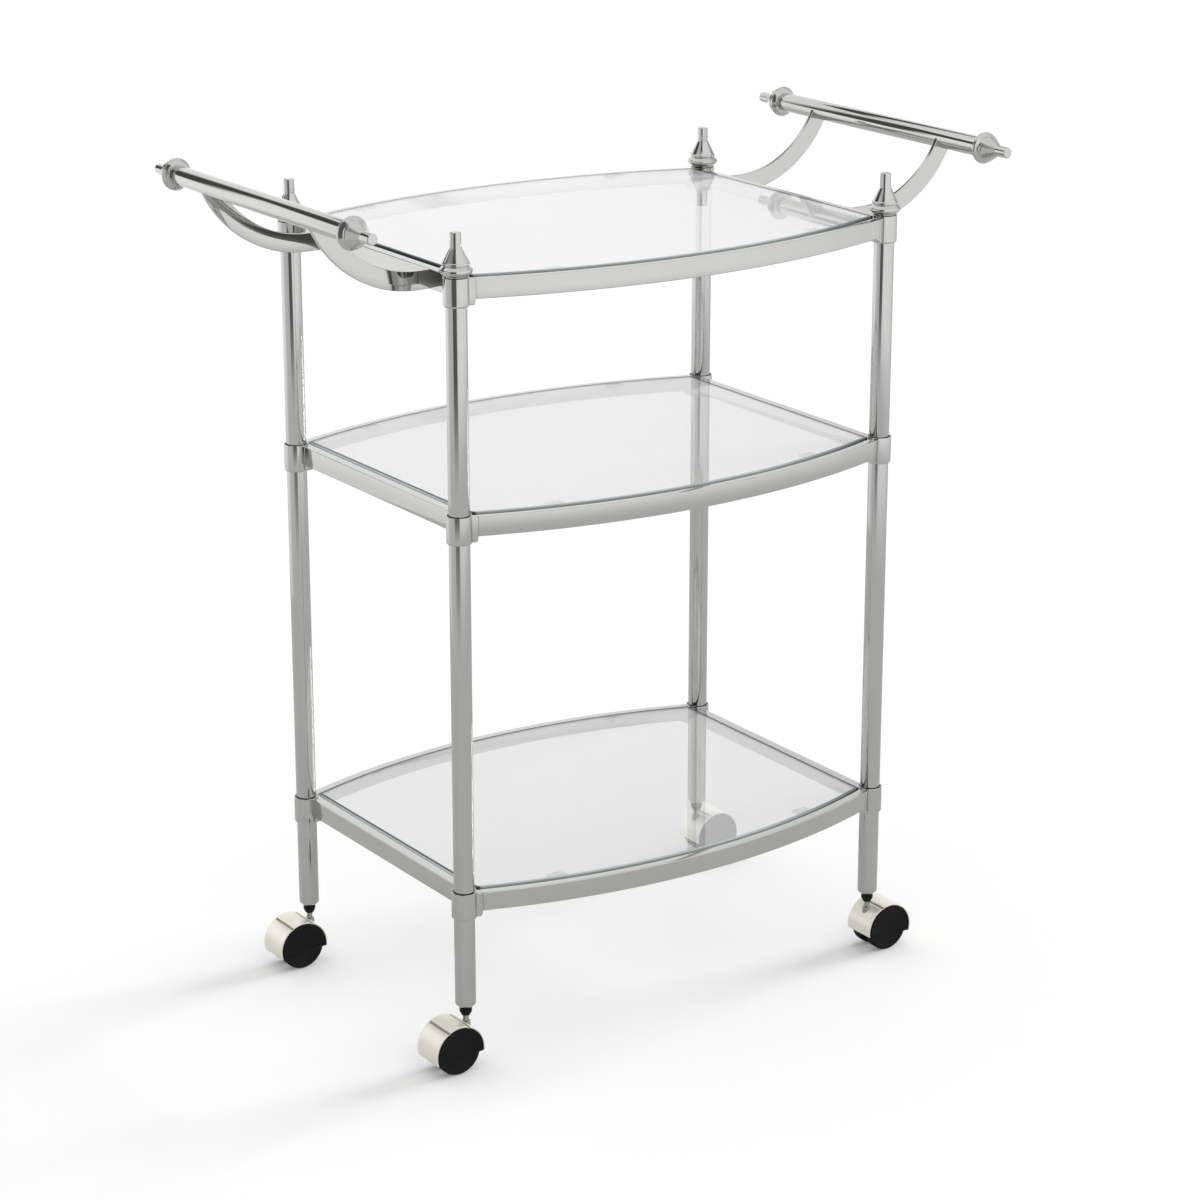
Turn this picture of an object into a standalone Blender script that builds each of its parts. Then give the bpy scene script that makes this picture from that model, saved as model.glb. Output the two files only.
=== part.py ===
"""Three-shelf glass and chrome trolley cart: four round posts, bowed shelf frames, two
end handles with turned finials, and four hooded twin-wheel casters.

Metres, +Z up. The origin is on the floor under the middle of the cart.
X runs along the cart (handles at -X and +X), Y runs from front (-Y) to back (+Y)."""

import math

import bmesh
import bpy
from mathutils import Matrix, Vector

MM = 0.001

# Clearances
SEAT_GAP = 0.3 * MM
RUNNING_GAP = 0.4 * MM
GLASS_GAP = 0.5 * MM

# Posts
POST_SPACING_X = 524 * MM
POST_SPACING_Y = 321 * MM
POST_RADIUS = 10.7 * MM
TUBE_WALL = 1.5 * MM
LEG_END_CHAMFER = 1.2 * MM

# Shelf frames, by the height of the glass top
SHELF_HEIGHTS = {"bottom": 193 * MM, "middle": 589 * MM, "top": 826 * MM}
GLASS_THICKNESS = 5 * MM
GLASS_PROUD = 1.5 * MM
RAIL_HEIGHT = 20 * MM
BOWED_RAIL_WIDTH = 11.5 * MM
END_RAIL_WIDTH = 12 * MM
BOW_CORNER_OUT = 6.5 * MM
BOW_RISE = 48 * MM
COLLAR_WALL = 2.3 * MM
COLLAR_TO_GLASS = 1 * MM
COLLAR_HEIGHT = 28.5 * MM
TAB_FROM_MIDDLE = 158 * MM
TAB_WIDTH = 18 * MM
TAB_REACH = 18 * MM
TAB_THICKNESS = 3 * MM
WELD_DEPTH = 3 * MM

# Finials, as (radius, height above the tube end)
FINIAL_BASE = (13 * MM, 0 * MM)
FINIAL_FLANGE_LOW = (16.5 * MM, 5 * MM)
FINIAL_FLANGE_HIGH = (16.5 * MM, 8.5 * MM)
FINIAL_NECK = (13.6 * MM, 13 * MM)
FINIAL_CONE_FOOT = (13 * MM, 14.8 * MM)
FINIAL_CONE_TOP = (6 * MM, 28 * MM)
FINIAL_TIP = (5.7 * MM, 43.4 * MM)
FINIAL_SPIGOT_LENGTH = 12 * MM

# Handles
BAR_RADIUS = 10.3 * MM
BAR_LENGTH = 335 * MM
BAR_OUT = 121 * MM
BAR_Z = 885 * MM
ARM_SPACING = 214 * MM
ARM_THICKNESS = 5 * MM
ARM_WIDTH = 19.5 * MM
ARM_STRAIGHT = 14 * MM

# Casters, with the stem axis as their own zero
WHEEL_RADIUS = 25 * MM
WHEEL_WIDTH = 11.2 * MM
TREAD_ROUND = 1.5 * MM
WEB_THICKNESS = 11 * MM
CAP_THICKNESS = 2.7 * MM
HOUSING_ROOF = 1.3 * MM
HOUSING_CUT_BELOW_AXLE = 5.5 * MM
HOOD_THICKNESS = 1.5 * MM
HOOD_SIDE_INSET = 1 * MM
HOOD_CUT_BELOW_AXLE = 5.5 * MM
CASTER_TRAIL = 18 * MM
AXLE_RADIUS = 3 * MM
AXLE_IN_CAP = 1.2 * MM
STEM_RADIUS = 3 * MM
STEM_BELOW_AXLE = 4 * MM
STEM_NECK = 5.9 * MM
STEM_IN_LEG = 24 * MM
SOCKET_HEIGHT = 9.5 * MM
SOCKET_STRAIGHT = 5 * MM
SOCKET_FOOT_RADIUS = 4.6 * MM
SOCKET_RIM_INSET = 4.2 * MM

# Facets
POST_SIDES = 16
COLLAR_SIDES = 16
FINIAL_SIDES = 16
WHEEL_SIDES = 24
PIN_SIDES = 12
BOW_STEPS = 16
ARM_STEPS = 12

# Worked out from the sizes above
TUBE_BORE = POST_RADIUS - TUBE_WALL
BAR_BORE = BAR_RADIUS - TUBE_WALL
POST_X = POST_SPACING_X / 2
POST_Y = POST_SPACING_Y / 2
COLLAR_RADIUS = POST_RADIUS + COLLAR_WALL
FRAME_X = POST_X - COLLAR_RADIUS - COLLAR_TO_GLASS + END_RAIL_WIDTH
BOW_CORNER_Y = POST_Y + BOW_CORNER_OUT
BOW_MIDDLE_Y = BOW_CORNER_Y + BOW_RISE
BOW_RADIUS = (FRAME_X ** 2 + BOW_RISE ** 2) / (2 * BOW_RISE)
WHEEL_POCKET = WHEEL_WIDTH + 2 * RUNNING_GAP
CASTER_WIDTH = WEB_THICKNESS + 2 * WHEEL_POCKET + 2 * CAP_THICKNESS
POCKET_RADIUS = WHEEL_RADIUS + 2 * RUNNING_GAP
HOUSING_RADIUS = POCKET_RADIUS + HOUSING_ROOF
HOOD_BORE = HOUSING_RADIUS + SEAT_GAP
HOOD_RADIUS = HOOD_BORE + HOOD_THICKNESS
HOOD_UNDER_SOCKET = WHEEL_RADIUS + math.sqrt(HOOD_RADIUS ** 2 - (CASTER_TRAIL - SOCKET_FOOT_RADIUS) ** 2)
SOCKET_FOOT_Z = HOOD_UNDER_SOCKET + STEM_NECK
LEG_END_Z = SOCKET_FOOT_Z + SOCKET_HEIGHT
STEM_FOOT_Z = WHEEL_RADIUS - STEM_BELOW_AXLE
SOCKET_RIM_RADIUS = POST_RADIUS - SOCKET_RIM_INSET
CORNERS = {"front_left": (-1, -1), "front_right": (1, -1), "back_left": (-1, 1), "back_right": (1, 1)}


def clear_scene():
    for scene_object in list(bpy.data.objects):
        bpy.data.objects.remove(scene_object, do_unlink=True)


def make_material(name, colour, roughness, metallic, transmission=0.0):
    material = bpy.data.materials.new(name)
    material.use_nodes = True
    shader = material.node_tree.nodes["Principled BSDF"]
    shader.inputs["Base Color"].default_value = (*colour, 1.0)
    shader.inputs["Roughness"].default_value = roughness
    shader.inputs["Metallic"].default_value = metallic
    shader.inputs["Transmission Weight"].default_value = transmission
    return material


def mesh_of(bm, name):
    bmesh.ops.recalc_face_normals(bm, faces=bm.faces)
    mesh = bpy.data.meshes.new(name)
    bm.to_mesh(mesh)
    bm.free()
    mesh.shade_smooth()
    mesh.set_sharp_from_angle(angle=math.radians(35))
    return mesh


def turned(name, profile, sides, closed=False):
    """A lathe shape about Z. An open profile starts and ends on the axis; a closed one is a ring."""
    bm = bmesh.new()
    rings = []
    for radius, height in profile:
        if radius == 0:
            rings.append([bm.verts.new((0, 0, height))] * sides)
            continue
        turns = [2 * math.pi * (side + 0.5) / sides for side in range(sides)]
        rings.append([bm.verts.new((radius * math.cos(t), radius * math.sin(t), height)) for t in turns])
    pairs = list(zip(rings, rings[1:]))
    if closed:
        pairs.append((rings[-1], rings[0]))
    for low, high in pairs:
        for side in range(sides):
            following = (side + 1) % sides
            corners = [low[side], low[following], high[following], high[side]]
            bm.faces.new(list(dict.fromkeys(corners)))
    return mesh_of(bm, name)


def prism(name, outline, start, end):
    """An outline in the XY plane, extruded from start to end along Z."""
    bm = bmesh.new()
    face = bm.faces.new([bm.verts.new((x, y, start)) for x, y in outline])
    swept = bmesh.ops.extrude_face_region(bm, geom=[face])
    raised = [item for item in swept["geom"] if isinstance(item, bmesh.types.BMVert)]
    bmesh.ops.translate(bm, verts=raised, vec=(0, 0, end - start))
    return mesh_of(bm, name)


def ring_prism(name, outer, inner, start, end):
    """The band between two outlines of as many points, extruded from start to end along Z."""
    bm = bmesh.new()
    loops = [[bm.verts.new((x, y, z)) for x, y in outline]
             for outline, z in ((outer, start), (outer, end), (inner, end), (inner, start))]
    count = len(outer)
    for near, far in zip(loops, loops[1:] + loops[:1]):
        for point in range(count):
            following = (point + 1) % count
            bm.faces.new([near[point], near[following], far[following], far[point]])
    return mesh_of(bm, name)


def rod(name, radius, start, end, sides):
    return turned(name, [(0, start), (radius, start), (radius, end), (0, end)], sides)


def tube(name, radius, bore, start, end, chamfer=0.0):
    profile = [(bore, start), (radius - chamfer, start)]
    if chamfer:
        profile.append((radius, start + chamfer))
    profile += [(radius, end), (bore, end)]
    return turned(name, profile, POST_SIDES, closed=True)


def along_y(mesh):
    """Turns a shape made along Z so that it lies along Y."""
    mesh.transform(Matrix.Rotation(math.radians(-90), 4, "X"))
    return mesh


def moved(mesh, x=0.0, y=0.0, z=0.0):
    mesh.transform(Matrix.Translation((x, y, z)))
    return mesh


def place(name, mesh, material, location=(0, 0, 0), turn=0.0, parent=None):
    part = bpy.data.objects.new(name, mesh)
    bpy.context.collection.objects.link(part)
    part.location = location
    part.rotation_euler = (0, 0, turn)
    part.parent = parent
    if not mesh.materials:
        mesh.materials.append(material)
    return part


def combined(name, base, joined=(), cut=()):
    """Joins and cuts meshes with exact Booleans, worked in millimetres, and returns the finished mesh."""
    for mesh in (base, *joined, *cut):
        mesh.transform(Matrix.Scale(1 / MM, 4))
    work = bpy.data.objects.new(name + "_work", base)
    bpy.context.collection.objects.link(work)
    groups = []
    for operation, meshes in (("UNION", joined), ("DIFFERENCE", cut)):
        if not meshes:
            continue
        group = bpy.data.collections.new(f"{name}_{operation}")
        bpy.context.scene.collection.children.link(group)
        groups.append(group)
        for mesh in meshes:
            group.objects.link(bpy.data.objects.new(name + "_helper", mesh))
        step = work.modifiers.new(operation, "BOOLEAN")
        step.operation = operation
        step.solver = "EXACT"
        step.operand_type = "COLLECTION"
        step.collection = group
    bpy.context.view_layer.update()
    finished = bpy.data.meshes.new_from_object(work.evaluated_get(bpy.context.evaluated_depsgraph_get()))
    for scrap in [work] + [helper for group in groups for helper in group.objects]:
        bpy.data.objects.remove(scrap, do_unlink=True)
    for group in groups:
        bpy.data.collections.remove(group)
    finished.name = name
    finished.transform(Matrix.Scale(MM, 4))
    finished.shade_smooth()
    finished.set_sharp_from_angle(angle=math.radians(35))
    return finished


def bow_y(x, inset):
    """How far the bowed edge lies from the middle line at x, moved inwards by inset."""
    centre = BOW_MIDDLE_Y - BOW_RADIUS
    return centre + math.sqrt((BOW_RADIUS - inset) ** 2 - x ** 2)


def shelf_outline(end_inset, bow_inset):
    """The shelf's plan, straight at both ends and bowed at the front and the back."""
    half = FRAME_X - end_inset
    xs = [half * (2 * step / BOW_STEPS - 1) for step in range(BOW_STEPS + 1)]
    front = [(x, -bow_y(x, bow_inset)) for x in xs]
    back = [(x, bow_y(x, bow_inset)) for x in reversed(xs)]
    return front + back


def make_shelf(level, glass_top, chrome, glass):
    rail_top = glass_top - GLASS_PROUD
    rail_foot = rail_top - RAIL_HEIGHT
    collar_foot = glass_top - COLLAR_HEIGHT
    pane_foot = glass_top - GLASS_THICKNESS

    rails = ring_prism("rails", shelf_outline(0, 0), shelf_outline(END_RAIL_WIDTH, BOWED_RAIL_WIDTH),
                       rail_foot, rail_top)

    collars = []
    bores = []
    for x_side, y_side in CORNERS.values():
        post = {"x": x_side * POST_X, "y": y_side * POST_Y}
        collars.append(moved(rod("collar", COLLAR_RADIUS, collar_foot, glass_top, COLLAR_SIDES), **post))
        bores.append(moved(rod("bore", POST_RADIUS + SEAT_GAP, collar_foot - RAIL_HEIGHT,
                               glass_top + RAIL_HEIGHT, POST_SIDES), **post))

    tabs = []
    tab_top = pane_foot - SEAT_GAP
    for x_side, y_side in CORNERS.values():
        x = x_side * TAB_FROM_MIDDLE
        wall = bow_y(TAB_FROM_MIDDLE, BOWED_RAIL_WIDTH)
        near = y_side * (wall + WELD_DEPTH)
        far = y_side * (wall - TAB_REACH)
        corners = [(x - TAB_WIDTH / 2, near), (x + TAB_WIDTH / 2, near),
                   (x + TAB_WIDTH / 2, far), (x - TAB_WIDTH / 2, far)]
        tabs.append(prism("tab", corners, tab_top - TAB_THICKNESS, tab_top))

    frame = combined("shelf_frame_" + level, rails, joined=collars + tabs, cut=bores)
    place("shelf_frame_" + level, frame, chrome)
    pane = prism("shelf_glass_" + level,
                 shelf_outline(END_RAIL_WIDTH + GLASS_GAP, BOWED_RAIL_WIDTH + GLASS_GAP),
                 pane_foot, glass_top)
    place("shelf_glass_" + level, pane, glass)


def make_posts(chrome):
    """Each post is three tubes that meet half way up the collars."""
    tops = list(SHELF_HEIGHTS.values())
    joints = [top - COLLAR_HEIGHT / 2 for top in tops[:-1]]
    leg = tube("leg", POST_RADIUS, TUBE_BORE, LEG_END_Z, joints[0] - SEAT_GAP / 2, LEG_END_CHAMFER)
    lower = tube("lower_post", POST_RADIUS, TUBE_BORE, joints[0] + SEAT_GAP / 2, joints[1] - SEAT_GAP / 2)
    upper = tube("upper_post", POST_RADIUS, TUBE_BORE, joints[1] + SEAT_GAP / 2, tops[-1] - SEAT_GAP)
    for corner, (x_side, y_side) in CORNERS.items():
        for mesh in (leg, lower, upper):
            place(f"{mesh.name}_{corner}", mesh, chrome, (x_side * POST_X, y_side * POST_Y, 0))


def finial_mesh(name, bore):
    spigot = bore - SEAT_GAP
    profile = [(0, -FINIAL_SPIGOT_LENGTH), (spigot, -FINIAL_SPIGOT_LENGTH), (spigot, 0), FINIAL_BASE,
               FINIAL_FLANGE_LOW, FINIAL_FLANGE_HIGH, FINIAL_NECK, FINIAL_CONE_FOOT,
               FINIAL_CONE_TOP, FINIAL_TIP, (0, FINIAL_TIP[1])]
    return turned(name, profile, FINIAL_SIDES)


def make_post_finials(chrome):
    mesh = finial_mesh("post_finial", TUBE_BORE)
    top = SHELF_HEIGHTS["top"]
    for corner, (x_side, y_side) in CORNERS.items():
        place("post_finial_" + corner, mesh, chrome, (x_side * POST_X, y_side * POST_Y, top + SEAT_GAP))


def arm_mesh(name, rail_face, rail_middle):
    """A flat bar on edge: straight off the end rail, then an arc up to the underside of the bar."""
    bar_x = POST_X + BAR_OUT
    start_x = rail_face + SEAT_GAP
    bend_x = start_x + ARM_STRAIGHT
    rise = BAR_Z - rail_middle
    run = bar_x - bend_x
    radius = (run ** 2 + rise ** 2) / (2 * rise)
    sweep = math.atan2(run, radius - rise)
    turns = [sweep * step / ARM_STEPS for step in range(ARM_STEPS + 1)]
    inner = radius - ARM_WIDTH / 2
    outer = radius + ARM_WIDTH / 2
    centre_z = rail_middle + radius
    outline = [(start_x, rail_middle - ARM_WIDTH / 2)]
    outline += [(bend_x + outer * math.sin(t), centre_z - outer * math.cos(t)) for t in turns]
    outline += [(bend_x + inner * math.sin(t), centre_z - inner * math.cos(t)) for t in reversed(turns)]
    outline.append((start_x, rail_middle + ARM_WIDTH / 2))
    blank = prism(name, outline, -ARM_THICKNESS / 2, ARM_THICKNESS / 2)
    blank.transform(Matrix.Rotation(math.radians(90), 4, "X"))
    saddle = along_y(rod("saddle", BAR_RADIUS + SEAT_GAP, -ARM_THICKNESS, ARM_THICKNESS, POST_SIDES))
    return combined(name, blank, cut=[moved(saddle, bar_x, 0, BAR_Z)])


def make_handles(chrome):
    rail_middle = SHELF_HEIGHTS["top"] - GLASS_PROUD - RAIL_HEIGHT / 2
    arm = arm_mesh("handle_arm", FRAME_X, rail_middle)
    bar = along_y(tube("handle_bar", BAR_RADIUS, BAR_BORE, -BAR_LENGTH / 2, BAR_LENGTH / 2))
    cap = along_y(finial_mesh("handle_finial", BAR_BORE))
    half_turn = math.pi
    for side, x_side in (("left", -1), ("right", 1)):
        bar_x = x_side * (POST_X + BAR_OUT)
        place("handle_bar_" + side, bar, chrome, (bar_x, 0, BAR_Z))
        for end, y_side in (("front", -1), ("back", 1)):
            tip = (bar_x, y_side * (BAR_LENGTH / 2 + SEAT_GAP), BAR_Z)
            place(f"handle_finial_{end}_{side}", cap, chrome, tip, turn=0 if y_side > 0 else half_turn)
            place(f"handle_arm_{end}_{side}", arm, chrome, (0, y_side * ARM_SPACING / 2, 0),
                  turn=0 if x_side > 0 else half_turn)


def caster_arc(radius, foot_drop):
    """An arc about the axle, over the top, from foot_drop below the axle to the same on the other side."""
    start = -math.asin(foot_drop / radius)
    sweep = math.pi - 2 * start
    turns = [start + sweep * step / WHEEL_SIDES for step in range(WHEEL_SIDES + 1)]
    return [(radius * math.cos(t), radius * math.sin(t)) for t in turns]


def upright(mesh):
    """Turns a profile drawn in XY, with its width along Z, so that it stands on the axle at the trail."""
    mesh.transform(Matrix.Rotation(math.radians(90), 4, "X"))
    return moved(mesh, CASTER_TRAIL, 0, WHEEL_RADIUS)


def across(radius, start, end, sides):
    return moved(along_y(rod("across", radius, start, end, sides)), CASTER_TRAIL, 0, WHEEL_RADIUS)


def housing_mesh():
    """The black body: a middle web and two side caps under one roof, with two wheel pockets."""
    half = CASTER_WIDTH / 2
    barrel = upright(prism("caster_housing", caster_arc(HOUSING_RADIUS, HOUSING_CUT_BELOW_AXLE), -half, half))
    near = WEB_THICKNESS / 2
    far = near + WHEEL_POCKET
    axle_reach = far + AXLE_IN_CAP
    cuts = [across(POCKET_RADIUS, near, far, WHEEL_SIDES),
            across(POCKET_RADIUS, -far, -near, WHEEL_SIDES),
            across(AXLE_RADIUS + SEAT_GAP, -axle_reach, axle_reach, PIN_SIDES),
            rod("stem_bore", STEM_RADIUS + SEAT_GAP, STEM_FOOT_Z - SEAT_GAP, LEG_END_Z, PIN_SIDES)]
    return combined("caster_housing", barrel, cut=cuts)


def hood_mesh():
    """The bright shell that wraps the top of the housing, with a hole for the stem."""
    half = CASTER_WIDTH / 2 - HOOD_SIDE_INSET
    outer = caster_arc(HOOD_RADIUS, HOOD_CUT_BELOW_AXLE)
    inner = caster_arc(HOOD_BORE, HOOD_CUT_BELOW_AXLE)
    shell = upright(prism("caster_hood", outer + inner[::-1], -half, half))
    hole = rod("stem_hole", STEM_RADIUS + RUNNING_GAP, WHEEL_RADIUS, LEG_END_Z, PIN_SIDES)
    return combined("caster_hood", shell, cut=[hole])


def wheel_mesh():
    """A wheel whose flats touch the wheel's circle, so that it stands on the floor."""
    half = WHEEL_WIDTH / 2
    bore = AXLE_RADIUS + RUNNING_GAP
    rim = WHEEL_RADIUS / math.cos(math.pi / WHEEL_SIDES)
    profile = [(bore, -half), (rim - TREAD_ROUND, -half), (rim, -half + TREAD_ROUND),
               (rim, half - TREAD_ROUND), (rim - TREAD_ROUND, half), (bore, half)]
    return along_y(turned("wheel", profile, WHEEL_SIDES, closed=True))


def socket_mesh():
    """The black plug in the leg's end, with a blind bore for the stem."""
    plug = TUBE_BORE - SEAT_GAP
    rim = LEG_END_Z - SEAT_GAP
    bore = STEM_RADIUS + SEAT_GAP
    bore_top = LEG_END_Z + STEM_IN_LEG + SEAT_GAP
    top = bore_top + TUBE_WALL
    profile = [(0, bore_top), (bore, bore_top), (bore, SOCKET_FOOT_Z), (SOCKET_FOOT_RADIUS, SOCKET_FOOT_Z),
               (SOCKET_RIM_RADIUS, rim - SOCKET_STRAIGHT), (SOCKET_RIM_RADIUS, rim), (plug, rim), (plug, top),
               (0, top)]
    return turned("caster_socket", profile, POST_SIDES)


def make_casters(nickel, black, steel):
    socket = socket_mesh()
    housing = housing_mesh()
    hood = hood_mesh()
    stem = rod("caster_stem", STEM_RADIUS, STEM_FOOT_Z, LEG_END_Z + STEM_IN_LEG, PIN_SIDES)
    axle_half = WEB_THICKNESS / 2 + WHEEL_POCKET + AXLE_IN_CAP - SEAT_GAP
    axle = along_y(rod("caster_axle", AXLE_RADIUS, -axle_half, axle_half, PIN_SIDES))
    wheel = wheel_mesh()
    wheel_y = WEB_THICKNESS / 2 + WHEEL_POCKET / 2
    for corner, (x_side, y_side) in CORNERS.items():
        post = (x_side * POST_X, y_side * POST_Y, 0)
        place("caster_socket_" + corner, socket, black, post)
        swivel = bpy.data.objects.new("swivel_" + corner, None)
        bpy.context.collection.objects.link(swivel)
        swivel.location = post
        swivel.rotation_euler = (0, 0, 0 if x_side > 0 else math.pi)
        place("caster_stem_" + corner, stem, steel, parent=swivel)
        place("caster_housing_" + corner, housing, black, parent=swivel)
        place("caster_hood_" + corner, hood, nickel, parent=swivel)
        hub = (CASTER_TRAIL, 0, WHEEL_RADIUS)
        place("caster_axle_" + corner, axle, steel, hub, parent=swivel)
        for wheel_side, side_sign in (("inner", 1), ("outer", -1)):
            centre = Vector(hub) + Vector((0, side_sign * wheel_y, 0))
            place(f"wheel_{wheel_side}_{corner}", wheel, black, centre, parent=swivel)


def main():
    clear_scene()
    chrome = make_material("chrome", (0.82, 0.82, 0.81), 0.06, 1.0)
    nickel = make_material("warm_nickel", (0.85, 0.82, 0.74), 0.12, 1.0)
    steel = make_material("steel", (0.6, 0.6, 0.6), 0.25, 1.0)
    black = make_material("black_plastic", (0.012, 0.012, 0.013), 0.4, 0.0)
    glass = make_material("clear_glass", (0.93, 0.98, 0.95), 0.0, 0.0, transmission=1.0)
    for level, glass_top in SHELF_HEIGHTS.items():
        make_shelf(level, glass_top, chrome, glass)
    make_posts(chrome)
    make_post_finials(chrome)
    make_handles(chrome)
    make_casters(nickel, black, steel)


main()
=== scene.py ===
import math

import bpy
import numpy as np
from bpy.props import FloatProperty, FloatVectorProperty, IntProperty, PointerProperty
from bpy.types import Operator, Panel, PropertyGroup
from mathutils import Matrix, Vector


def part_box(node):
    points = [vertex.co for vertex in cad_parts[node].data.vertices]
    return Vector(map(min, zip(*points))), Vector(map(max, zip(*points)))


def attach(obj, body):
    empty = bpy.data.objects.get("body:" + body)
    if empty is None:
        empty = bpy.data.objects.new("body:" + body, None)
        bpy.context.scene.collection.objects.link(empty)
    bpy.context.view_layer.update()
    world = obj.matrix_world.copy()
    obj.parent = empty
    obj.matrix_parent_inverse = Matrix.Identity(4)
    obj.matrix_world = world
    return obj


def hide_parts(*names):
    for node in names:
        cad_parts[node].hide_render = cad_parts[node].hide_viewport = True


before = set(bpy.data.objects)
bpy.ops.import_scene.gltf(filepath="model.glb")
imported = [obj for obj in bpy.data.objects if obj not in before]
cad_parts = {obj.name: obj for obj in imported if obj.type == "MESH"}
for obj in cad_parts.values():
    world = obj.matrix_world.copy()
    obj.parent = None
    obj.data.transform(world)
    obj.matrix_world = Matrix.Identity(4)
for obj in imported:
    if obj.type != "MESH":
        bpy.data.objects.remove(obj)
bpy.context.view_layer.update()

bl_info = {
    "name": "Glass Trolley Cart",
    "version": (1, 0, 0),
    "blender": (4, 5, 0),
    "location": "View3D > Sidebar > Trolley",
    "description": "Finished surfaces and materials for a three-shelf glass and chrome trolley cart",
    "category": "Object",
}

MM = 0.001
CORNERS = {"front_left": (-1, -1), "front_right": (1, -1), "back_left": (-1, 1), "back_right": (1, 1)}
LEVELS = ("bottom", "middle", "top")
SHARP_ANGLE = math.radians(38)
WHITE = (1.0, 1.0, 1.0)
BOW_POINTS = 65
BLOCK_POINTS = 9
ARM_POINTS = 49
DISC_POINTS = 97
HOOD_POINTS = 289
FLOOR_STEPS = 48
WALL_STEPS = 128


def length(name, description, default):
    return FloatProperty(name=name, description=description, default=default, unit="LENGTH", precision=4)


def angle(name, description, degrees):
    return FloatProperty(name=name, description=description, default=math.radians(degrees), subtype="ANGLE")


def colour(name, description, default):
    return FloatVectorProperty(name=name, description=description, default=default, subtype="COLOR",
                               size=3, min=0.0, max=1.0)


def factor(name, description, default):
    return FloatProperty(name=name, description=description, default=default, min=0.0)


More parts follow.
